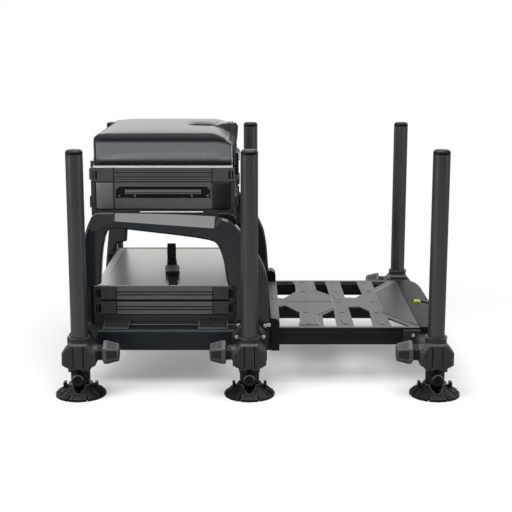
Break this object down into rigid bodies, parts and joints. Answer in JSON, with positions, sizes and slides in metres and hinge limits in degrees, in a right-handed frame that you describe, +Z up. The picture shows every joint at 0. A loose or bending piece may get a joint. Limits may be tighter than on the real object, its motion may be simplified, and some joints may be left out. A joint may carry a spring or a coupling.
{
  "type": "fishing seat box",
  "caption": "Fishing seat box on telescopic legs: arch side frames, hinged padded seat over a tray and drawer, strapped deck over shallow drawers, and a sliding footplate.",
  "frame": {"origin": "on the ground, under the middle of the leg rows", "axes": "+X to the angler's front, along the footplate; +Y to the side away from the drawers' pulls; +Z up"},
  "size_m": [0.854, 0.747, 0.5409],
  "materials": {
    "leg_tube": "anodised charcoal, satin, with fine flutes",
    "casting": "powder-coated, fine grain",
    "knob_plastic": "matte moulded plastic",
    "black_plastic": "black moulded plastic",
    "arch_gloss": "dark blue-green gloss lacquer",
    "nose_gloss": "dark grey gloss moulding",
    "rail": "black anodised, satin",
    "extrusion": "grey anodised, brushed along its length",
    "corner_plastic": "matte moulded plastic",
    "deck": "satin brushed sheet",
    "footplate": "satin coated sheet",
    "handle": "satin anodised bar",
    "seat_edge": "light moulded edge",
    "cushion": "grained covering over foam",
    "webbing": "woven black webbing",
    "level": "clear vial with yellow-green fluid"
  },
  "bodies": {
    "chassis": {"side_arch_near": "arch_gloss", "side_arch_far": "arch_gloss", "cross_beam_rear": "extrusion", "cross_beam_front": "extrusion", "rail_socket_near": "black_plastic", "rail_socket_far": "black_plastic", "lower_case": "corner_plastic", "deck_plate": "deck", "deck_strap": "webbing", "strap_buckle": "black_plastic", "drawer_case": "corner_plastic", "top_tray": "extrusion", "leg_boss_rear_near": "casting", "leg_boss_mid_near": "casting", "leg_boss_rear_far": "casting", "leg_boss_mid_far": "casting"},
    "footplate": {"footplate_panel": "footplate", "footplate_nose": "nose_gloss", "footplate_rail_near": "rail", "footplate_rail_far": "rail", "spirit_level": "level", "leg_boss_front_near": "casting", "leg_boss_front_far": "casting"},
    "upper_drawer": {"upper_drawer": "extrusion", "drawer_handle": "handle"},
    "lower_drawer_top": {"lower_drawer_top": "extrusion"},
    "lower_drawer_bottom": {"lower_drawer_bottom": "extrusion"},
    "seat": {"seat_base": "seat_edge", "seat_cushion": "cushion"},
    "seat_latch": {"seat_latch": "black_plastic"},
    "leg_rear_near": {"leg_tube_rear_near": "leg_tube", "leg_cap_rear_near": "black_plastic", "foot_knuckle_rear_near": "casting"},
    "knob_rear_near": {"lock_knob_rear_near": "knob_plastic"},
    "foot_rear_near": {"mud_foot_rear_near": "black_plastic"},
    "leg_mid_near": {"leg_tube_mid_near": "leg_tube", "leg_cap_mid_near": "black_plastic", "foot_knuckle_mid_near": "casting"},
    "knob_mid_near": {"lock_knob_mid_near": "knob_plastic"},
    "foot_mid_near": {"mud_foot_mid_near": "black_plastic"},
    "leg_front_near": {"leg_tube_front_near": "leg_tube", "leg_cap_front_near": "black_plastic", "foot_knuckle_front_near": "casting"},
    "knob_front_near": {"lock_knob_front_near": "knob_plastic"},
    "foot_front_near": {"mud_foot_front_near": "black_plastic"},
    "leg_rear_far": {"leg_tube_rear_far": "leg_tube", "leg_cap_rear_far": "black_plastic", "foot_knuckle_rear_far": "casting"},
    "knob_rear_far": {"lock_knob_rear_far": "knob_plastic"},
    "foot_rear_far": {"mud_foot_rear_far": "black_plastic"},
    "leg_mid_far": {"leg_tube_mid_far": "leg_tube", "leg_cap_mid_far": "black_plastic", "foot_knuckle_mid_far": "casting"},
    "knob_mid_far": {"lock_knob_mid_far": "knob_plastic"},
    "foot_mid_far": {"mud_foot_mid_far": "black_plastic"},
    "leg_front_far": {"leg_tube_front_far": "leg_tube", "leg_cap_front_far": "black_plastic", "foot_knuckle_front_far": "casting"},
    "knob_front_far": {"lock_knob_front_far": "knob_plastic"},
    "foot_front_far": {"mud_foot_front_far": "black_plastic"}
  },
  "joints": [
    {"name": "footplate_slide", "type": "slide", "parent": "chassis", "child": "footplate", "axis": [1, 0, 0], "range_m": [-0.25, 0]},
    {"name": "upper_drawer_slide", "type": "slide", "parent": "chassis", "child": "upper_drawer", "axis": [0, -1, 0], "range_m": [0, 0.3]},
    {"name": "lower_drawer_top_slide", "type": "slide", "parent": "chassis", "child": "lower_drawer_top", "axis": [0, -1, 0], "range_m": [0, 0.28]},
    {"name": "lower_drawer_bottom_slide", "type": "slide", "parent": "chassis", "child": "lower_drawer_bottom", "axis": [0, -1, 0], "range_m": [0, 0.28]},
    {"name": "seat_hinge", "type": "hinge", "parent": "chassis", "child": "seat", "pos_m": [-0.364, 0, 0.4696], "axis": [0, -1, 0], "range_deg": [0, 80]},
    {"name": "seat_latch_pivot", "type": "hinge", "parent": "chassis", "child": "seat_latch", "pos_m": [-0.0449, -0.172, 0.446], "axis": [0, 1, 0], "range_deg": [0, 70]},
    {"name": "leg_slide_rear_near", "type": "slide", "parent": "chassis", "child": "leg_rear_near", "axis": [0, 0, -1], "range_m": [0, 0.33]},
    {"name": "knob_turn_rear_near", "type": "hinge", "parent": "chassis", "child": "knob_rear_near", "pos_m": [-0.3735, -0.32, 0.092], "axis": [1, 0, 0], "continuous": true},
    {"name": "foot_tilt_rear_near", "type": "hinge", "parent": "leg_rear_near", "child": "foot_rear_near", "pos_m": [-0.3735, -0.32, 0.026], "axis": [0, 1, 0], "range_deg": [-18, 18]},
    {"name": "leg_slide_mid_near", "type": "slide", "parent": "chassis", "child": "leg_mid_near", "axis": [0, 0, -1], "range_m": [0, 0.33]},
    {"name": "knob_turn_mid_near", "type": "hinge", "parent": "chassis", "child": "knob_mid_near", "pos_m": [-0.0175, -0.32, 0.092], "axis": [-1, 0, 0], "continuous": true},
    {"name": "foot_tilt_mid_near", "type": "hinge", "parent": "leg_mid_near", "child": "foot_mid_near", "pos_m": [-0.0175, -0.32, 0.026], "axis": [0, 1, 0], "range_deg": [-18, 18]},
    {"name": "leg_slide_front_near", "type": "slide", "parent": "footplate", "child": "leg_front_near", "axis": [0, 0, -1], "range_m": [0, 0.33]},
    {"name": "knob_turn_front_near", "type": "hinge", "parent": "footplate", "child": "knob_front_near", "pos_m": [0.3735, -0.32, 0.092], "axis": [-1, 0, 0], "continuous": true},
    {"name": "foot_tilt_front_near", "type": "hinge", "parent": "leg_front_near", "child": "foot_front_near", "pos_m": [0.3735, -0.32, 0.026], "axis": [0, 1, 0], "range_deg": [-18, 18]},
    {"name": "leg_slide_rear_far", "type": "slide", "parent": "chassis", "child": "leg_rear_far", "axis": [0, 0, -1], "range_m": [0, 0.33]},
    {"name": "knob_turn_rear_far", "type": "hinge", "parent": "chassis", "child": "knob_rear_far", "pos_m": [-0.3735, 0.32, 0.092], "axis": [1, 0, 0], "continuous": true},
    {"name": "foot_tilt_rear_far", "type": "hinge", "parent": "leg_rear_far", "child": "foot_rear_far", "pos_m": [-0.3735, 0.32, 0.026], "axis": [0, 1, 0], "range_deg": [-18, 18]},
    {"name": "leg_slide_mid_far", "type": "slide", "parent": "chassis", "child": "leg_mid_far", "axis": [0, 0, -1], "range_m": [0, 0.33]},
    {"name": "knob_turn_mid_far", "type": "hinge", "parent": "chassis", "child": "knob_mid_far", "pos_m": [-0.0175, 0.32, 0.092], "axis": [-1, 0, 0], "continuous": true},
    {"name": "foot_tilt_mid_far", "type": "hinge", "parent": "leg_mid_far", "child": "foot_mid_far", "pos_m": [-0.0175, 0.32, 0.026], "axis": [0, 1, 0], "range_deg": [-18, 18]},
    {"name": "leg_slide_front_far", "type": "slide", "parent": "footplate", "child": "leg_front_far", "axis": [0, 0, -1], "range_m": [0, 0.33]},
    {"name": "knob_turn_front_far", "type": "hinge", "parent": "footplate", "child": "knob_front_far", "pos_m": [0.3735, 0.32, 0.092], "axis": [-1, 0, 0], "continuous": true},
    {"name": "foot_tilt_front_far", "type": "hinge", "parent": "leg_front_far", "child": "foot_front_far", "pos_m": [0.3735, 0.32, 0.026], "axis": [0, 1, 0], "range_deg": [-18, 18]}
  ]
}
